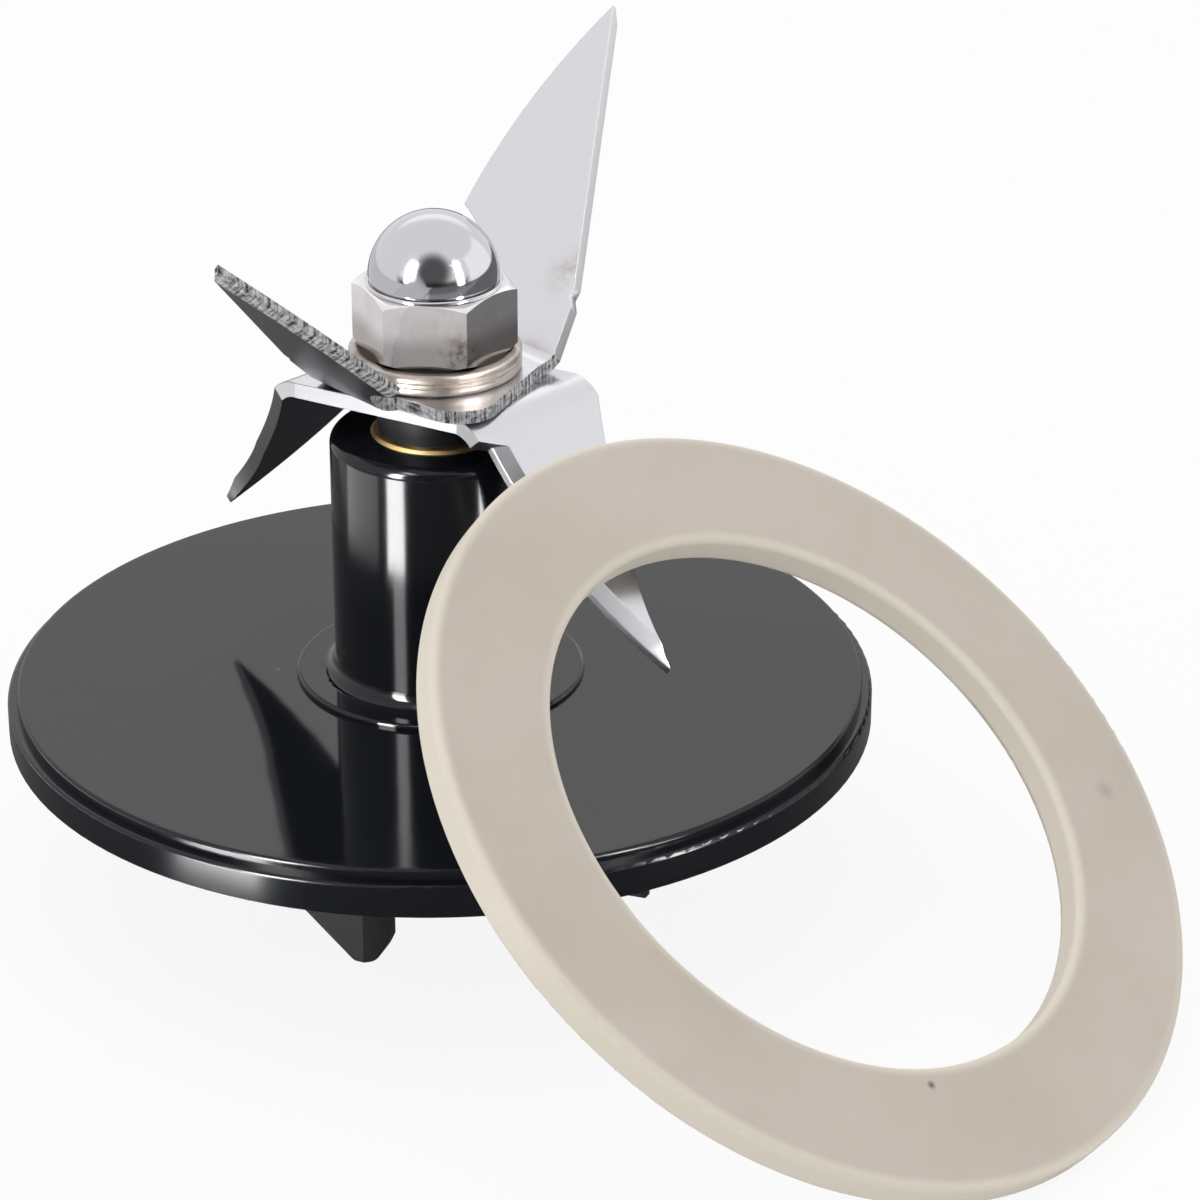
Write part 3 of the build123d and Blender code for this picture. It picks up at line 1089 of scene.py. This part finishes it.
@dataclass
class ClampWasher:
    """The thick washer under the nut: a ring with turned grooves in its wall."""

    bottom: float
    height: float
    inner_radius: float = 3.05 * MM
    outer_radius: float = 5.85 * MM
    foot_radius: float = 0.42 * MM
    foot_steps: int = 8
    top_radius: float = 0.252 * MM
    top_steps: int = 6
    groove_depth: float = 0.06 * MM
    groove_half: float = 0.05 * MM
    groove_levels: tuple[float, ...] = (0.42, 0.62)
    edge_angle: float = 30.0

    def build(self) -> Piece:
        """The washer's mesh.

        Returns:
            The finished washer, in its place.
        """
        low, high = self.bottom, self.bottom + self.height
        outer, foot, top = self.outer_radius, self.foot_radius, self.top_radius
        profile: Profile = [(self.inner_radius, high), (self.inner_radius, low)]
        profile += arc((outer - foot, low + foot), foot, -90, 0, self.foot_steps)
        for level in self.groove_levels:
            middle = low + level * self.height
            profile.append((outer, middle - self.groove_half))
            profile.append((outer - self.groove_depth, middle))
            profile.append((outer, middle + self.groove_half))
        profile += arc((outer - top, high - top), top, 0, 90, self.top_steps)
        washer = turned("blade_washer_turned", profile, ring=True)
        shade_smooth(washer, self.edge_angle)
        return washer


@dataclass
class SheetBlade:
    """One bent blade: its solid with softened edges, and its cut edges in a finish of their own."""

    node: str
    azimuth: float
    cutting_side: int
    cutting_slot: str
    sheared_slot: str
    plate_reach: float
    edge_width: float = 0.06 * MM
    edge_angle: float = 25.0
    least_lean: float = 0.2
    under_slope: float = -0.3

    def build(self, solid: Piece) -> Piece:
        """The blade's mesh.

        Args:
            solid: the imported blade.

        Returns:
            The blade with softened edges.
        """
        blade = copy_of(solid, f"{self.node}_sheet")
        soften(blade, self.edge_width, self.edge_angle)
        return blade

    def dress(self, blade: Piece, materials: Materials) -> None:
        """Gives the sheet, its underside, whose darker steel is painted shade, and its sheared and ground
        edges their finishes.

        The sheet's own faces never lean across the blade, because both bends run straight across it.

        Args:
            blade: the blade's mesh.
            materials: materials by slot.
        """
        turn = math.radians(self.azimuth)
        along = Vector((math.cos(turn), math.sin(turn), 0))
        across = Vector((-math.sin(turn), math.cos(turn), 0))

        def is_edge(face: Face) -> bool:
            """Whether a face leans across the blade."""
            return abs(face.normal.dot(across)) > self.least_lean

        def is_ground(face: Face) -> bool:
            """Whether an edge face lies on a cutting edge or on the plate between the wings.

            Args:
                face: one of the blade's faces.

            Returns:
                True for a face that gets the cutting edge's finish.
            """
            reach = face.center.dot(along)
            side = reach * face.normal.dot(across) * self.cutting_side
            return is_edge(face) and (side > 0 or abs(reach) < self.plate_reach)

        def is_under(face: Face) -> bool:
            """Whether a face of the sheet looks down, and so gets the painted shade."""
            return not is_edge(face) and face.normal.z < self.under_slope

        blade.data.materials.append(materials["blade_steel"])
        # Faces that look down get the darker steel of painted shade.
        areas = ((self.sheared_slot, is_edge), (self.cutting_slot, is_ground), ("painted_shade_underside", is_under))
        for slot, wanted in areas:
            count = paint_faces(blade, materials[slot], wanted)
            LOG.info("%s: %d faces with %s", blade.name, count, slot)


@dataclass
class Rotor:
    """Everything that turns: spindle, collar, washers, blades and nut."""

    nodes: Solids
    upper: SheetBlade
    lower: SheetBlade
    slots: Slots = (
        ("spindle", "steel"),
        ("thrust_washer", "steel"),
        ("spacer_collar", "dark_collar"),
    )

    def build(self, materials: Materials) -> None:
        """Models the nut, washer and blades and dresses the rest.

        Args:
            materials: materials by slot.
        """
        give_finishes(Body.ROTOR, self.nodes, self.slots, materials)
        for blade in (self.upper, self.lower):
            piece = blade.build(self.nodes[blade.node])
            blade.dress(piece, materials)
            self._fit(piece, blade.node)
        low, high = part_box("blade_washer")
        washer = ClampWasher(bottom=low[2], height=high[2] - low[2]).build()
        washer.data.materials.append(materials["washer_steel"])
        self._fit(washer, "blade_washer")
        nut = AcornNut(bottom=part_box("cap_nut")[0][2]).build(materials["nut_chrome"], materials["nut_edge"])
        self._fit(nut, "cap_nut")

    def _fit(self, piece: Piece, node: str) -> None:
        """Puts a piece in a solid's stead on the rotor.

        Args:
            piece: the finished piece.
            node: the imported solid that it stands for.
        """
        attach(piece, Body.ROTOR.value)
        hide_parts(node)
        LOG.info("%s: stands for %s, %d faces", piece.name, node, len(piece.data.polygons))


# Studio

@dataclass(frozen=True)
class SoftBox:
    """A rectangular studio light, which reflections don't show."""

    name: str
    place: Point
    target: Point
    width: float
    height: float
    power: float

    def build(self) -> None:
        """Hangs the light and points it at its target."""
        data = bpy.data.lights.new(self.name, "AREA")
        data.shape = "RECTANGLE"
        data.size = self.width
        data.size_y = self.height
        data.energy = self.power
        light = bpy.data.objects.new(self.name, data)
        light.location = self.place
        light.visible_glossy = False
        light.rotation_euler = (Vector(self.target) - Vector(self.place)).to_track_quat("-Z", "Y").to_euler()
        bpy.context.scene.collection.objects.link(light)


@dataclass(frozen=True)
class LightStrip:
    """An upright strip of light in the surroundings, as reflections see it."""

    azimuth: float
    half_width: float
    level: float
    start: float = 0.0
    core_share: float = 0.85


@dataclass
class Studio:
    """Pale floor, soft light and the camera of the photograph."""

    floor_height: float
    floor_gap: float = 0.02 * MM
    elevation: float = 25.5
    distance: float = 0.300
    aim: Point = (11.08 * MM, 0.0, 8.13 * MM)
    lens: float = 130.2
    sensor: float = 36.0
    nearest: float = 0.01
    floor_size: float = 4.0
    floor_colour: Colour = (0.88, 0.88, 0.88, 1.0)
    seen_share: float = 0.9
    ambient: float = 0.7
    camera_side_level: float = 0.12
    camera_side_cone: Span = (40.0, 18.0)
    near_floor_level: float = 0.12
    front_floor_level: float = 0.62
    front_right_level: float = 0.28
    left_floor_level: float = 0.75
    front_split: Span = (-0.021, -0.015)
    front_end: Span = (0.16, 0.24)
    front_end_share: float = 0.2
    far_floor_front: Span = (0.083, 0.097)
    far_floor_left: Span = (0.062, 0.068)
    overhead: SoftBox = SoftBox("overhead_box", (-0.25, -0.10, 0.80), (0.0, 0.0, 0.012), 1.2, 1.2, 3.0)
    low_strips: tuple[LightStrip, ...] = (
        LightStrip(-42.0, 10.0, 38.0, start=0.054),
        LightStrip(49.5, 4.5, 38.0, start=0.064),
        LightStrip(-84.0, 24.0, 2.7, start=0.063),
    )
    high_strips: tuple[LightStrip, ...] = (
        LightStrip(-42.0, 7.0, 60.0),
        LightStrip(49.5, 4.5, 40.0),
        LightStrip(98.0, 32.0, 0.28),
    )
    lamp_reach: Span = (0.106, 0.114)
    lamp_top: Span = (0.52, 0.62)
    front_horizon: Span = (0.05, 0.2)
    front_side: Span = (-0.6, -0.35)
    backdrop_rise: Span = (0.40, 0.52)
    backdrop_side: Span = (0.6, 0.8)
    backdrop_gain: float = 0.4

    def build(self) -> None:
        """Sets up everything around the object."""
        self._camera()
        self._floor()
        self._world()
        self.overhead.build()
        bpy.context.scene.view_settings.view_transform = "Standard"

    def _camera(self) -> None:
        """Stands the camera where the photograph was taken."""
        data = bpy.data.cameras.new("photo_camera")
        data.lens = self.lens
        data.sensor_width = self.sensor
        data.clip_start = self.nearest
        camera = bpy.data.objects.new("photo_camera", data)
        camera.location = Vector(self.aim) + self.distance * self._back()
        camera.rotation_euler = (math.pi / 2 - math.radians(self.elevation), 0, 0)
        bpy.context.scene.collection.objects.link(camera)
        bpy.context.scene.camera = camera

    def _back(self) -> Vector:
        """The direction from the object to the camera."""
        rise = math.radians(self.elevation)
        return Vector((0, -math.cos(rise), math.sin(rise)))

    def _seen(self, sheet: NodeSheet) -> Socket:
        """1 for the rays that see the pale background, 0 for those that light the object.

        Args:
            sheet: the sheet of the floor or the world.

        Returns:
            The value's socket.
        """
        path = sheet.add("ShaderNodeLightPath")
        seen = path.outputs[RayKind.CAMERA.value]
        for kind in (RayKind.GLOSSY, RayKind.TRANSMISSION):
            seen = sheet.math("MAXIMUM", seen, path.outputs[kind.value])
        return seen

    def _white_to_camera(self, sheet: NodeSheet, level: Socket) -> Socket:
        """White for the camera's own rays, and the given level for reflections.

        Args:
            sheet: the sheet of the floor or the world.
            level: the level that reflections see.

        Returns:
            The strength's socket.
        """
        camera = sheet.add("ShaderNodeLightPath").outputs[RayKind.CAMERA.value]
        others = sheet.math("MULTIPLY", sheet.math("SUBTRACT", 1.0, camera), level)
        return sheet.math("ADD", camera, others)

    def _strips(self, sheet: NodeSheet, strips: tuple[LightStrip, ...], split: Node) -> Socket:
        """The strips of light, by the angle round the object from the camera's side.

        Args:
            sheet: the sheet of the floor or the world.
            strips: the strips that show there.
            split: a node that gives X to the right and Y to the back.

        Returns:
            Their level.
        """
        angle = sheet.math("ARCTAN2", split.outputs["X"], sheet.math("MULTIPLY", split.outputs["Y"], -1.0))
        level: Number = 0.0
        for strip in strips:
            off = sheet.math("ABSOLUTE", sheet.math("SUBTRACT", angle, math.radians(strip.azimuth)))
            half = math.radians(strip.half_width)
            glow = sheet.ramp(off, strip.core_share * half, half, strip.level, 0.0)
            glow = sheet.math("MULTIPLY", glow, sheet.math("GREATER_THAN", sheet.reach(split), strip.start))
            level = sheet.math("ADD", glow, level)
        return level

    def _floor(self) -> None:
        """The pale floor, which keeps a soft shadow."""
        deselect_all()
        place = (0, 0, self.floor_height - self.floor_gap)
        bpy.ops.mesh.primitive_plane_add(size=self.floor_size, location=place)
        floor = named("studio_floor")
        material = bpy.data.materials.new("pale_floor")
        material.use_nodes = True
        sheet = NodeSheet(material.node_tree)
        level = self._floor_level(sheet)
        paint = sheet.put(sheet.add("ShaderNodeBsdfDiffuse"), Color=self.floor_colour)
        glow = sheet.add("ShaderNodeEmission")
        sheet.put(glow, Color=WHITE, Strength=self._white_to_camera(sheet, level))
        share = sheet.math("MULTIPLY", self._seen(sheet), self.seen_share)
        shader = sheet.either(share, paint.outputs["BSDF"], glow.outputs["Emission"])
        sheet.put(sheet.add("ShaderNodeOutputMaterial"), Surface=shader)
        floor.data.materials.append(material)
        floor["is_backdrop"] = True

    def _floor_level(self, sheet: NodeSheet) -> Socket:
        """The floor as reflections see it: dim near the object, paler further out, with the low strips.

        Args:
            sheet: the floor's sheet.

        Returns:
            The level's socket.
        """
        split = sheet.split(sheet.place())
        front = sheet.math("MULTIPLY", split.outputs["Y"], -1.0)
        left = sheet.math("MULTIPLY", split.outputs["X"], -1.0)
        sides = (self.front_floor_level, self.front_right_level)
        ahead = sheet.ramp(split.outputs["X"], *self.front_split, *sides)
        ahead = sheet.math("MULTIPLY", ahead, sheet.ramp(front, *self.far_floor_front, 0.0, 1.0))
        ahead = sheet.math("MULTIPLY", ahead, sheet.ramp(front, *self.front_end, 1.0, self.front_end_share))
        aside = sheet.ramp(left, *self.far_floor_left, self.near_floor_level, self.left_floor_level)
        near = sheet.ramp(sheet.reach(split), *self.lamp_reach, 1.0, 0.0)
        strips = sheet.math("MULTIPLY", near, self._strips(sheet, self.low_strips, split))
        return sheet.math("ADD", sheet.math("MAXIMUM", ahead, aside), strips)

    def _world(self) -> None:
        """An even light from all sides, with a white tent round it for the camera and for reflections."""
        world = bpy.data.worlds.new("studio_world")
        bpy.context.scene.world = world
        world.use_nodes = True
        sheet = NodeSheet(world.node_tree)
        level = self._world_level(sheet)
        light = sheet.put(sheet.add("ShaderNodeBackground"), Color=WHITE, Strength=self.ambient)
        view = sheet.add("ShaderNodeBackground")
        sheet.put(view, Color=WHITE, Strength=self._white_to_camera(sheet, level))
        shader = sheet.either(self._seen(sheet), light.outputs["Background"], view.outputs["Background"])
        sheet.put(sheet.add("ShaderNodeOutputWorld"), Surface=shader)

    def _world_level(self, sheet: NodeSheet) -> Socket:
        """The world as reflections see it: white, dim at the camera, brighter at the back, with the strips.

        Args:
            sheet: the world's sheet.

        Returns:
            The level's socket.
        """
        direction = sheet.add("ShaderNodeTexCoord").outputs["Generated"]
        split = sheet.split(direction)
        facing = sheet.vector("DOT_PRODUCT", direction, self._back()).outputs["Value"]
        wide, narrow = (math.cos(math.radians(angle)) for angle in self.camera_side_cone)
        level = sheet.ramp(facing, wide, narrow, 1.0, self.camera_side_level)
        horizon = sheet.ramp(split.outputs["Z"], *self.front_horizon, self.camera_side_level, 1.0)
        behind = sheet.ramp(split.outputs["Y"], *self.front_side, 0.0, 1.0)
        level = sheet.math("MULTIPLY", level, sheet.math("MAXIMUM", horizon, behind))
        raised = sheet.ramp(split.outputs["Z"], *self.backdrop_rise, 0.0, self.backdrop_gain)
        at_back = sheet.ramp(split.outputs["Y"], *self.backdrop_side, 0.0, 1.0)
        level = sheet.math("ADD", level, sheet.math("MULTIPLY", raised, at_back))
        low = sheet.ramp(split.outputs["Z"], *self.lamp_top, 1.0, 0.0)
        strips = sheet.math("MULTIPLY", low, self._strips(sheet, self.high_strips, split))
        return sheet.math("ADD", level, strips)


# The whole scene


def clear_start_file() -> None:
    """Removes what a new file holds."""
    deselect_all()
    for item in list(bpy.data.objects):
        bpy.data.objects.remove(item, do_unlink=True)


def main() -> None:
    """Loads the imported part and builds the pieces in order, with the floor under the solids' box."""
    logging.basicConfig(level=logging.INFO, format="%(name)s %(message)s")
    clear_start_file()
    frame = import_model()
    solid_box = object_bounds()
    effects = Effects()
    finishes = Finishes()
    materials = {slot: finish.material(effects) for slot, finish in vars(finishes).items()}
    nodes = frame["nodes"]
    Base(nodes).dress(materials)
    upper = SheetBlade("upper_blade", azimuth=41.5, cutting_side=1, cutting_slot="ground_edge",
                       sheared_slot="sheared_edge", plate_reach=6.5 * MM)
    lower = SheetBlade("lower_blade", azimuth=-45.0, cutting_side=1, cutting_slot="honed_edge",
                       sheared_slot="dull_edge", plate_reach=0.0)
    Rotor(nodes, upper, lower).build(materials)
    Studio(floor_height=solid_box[0][2]).build()


if __name__ == "__main__":
    main()
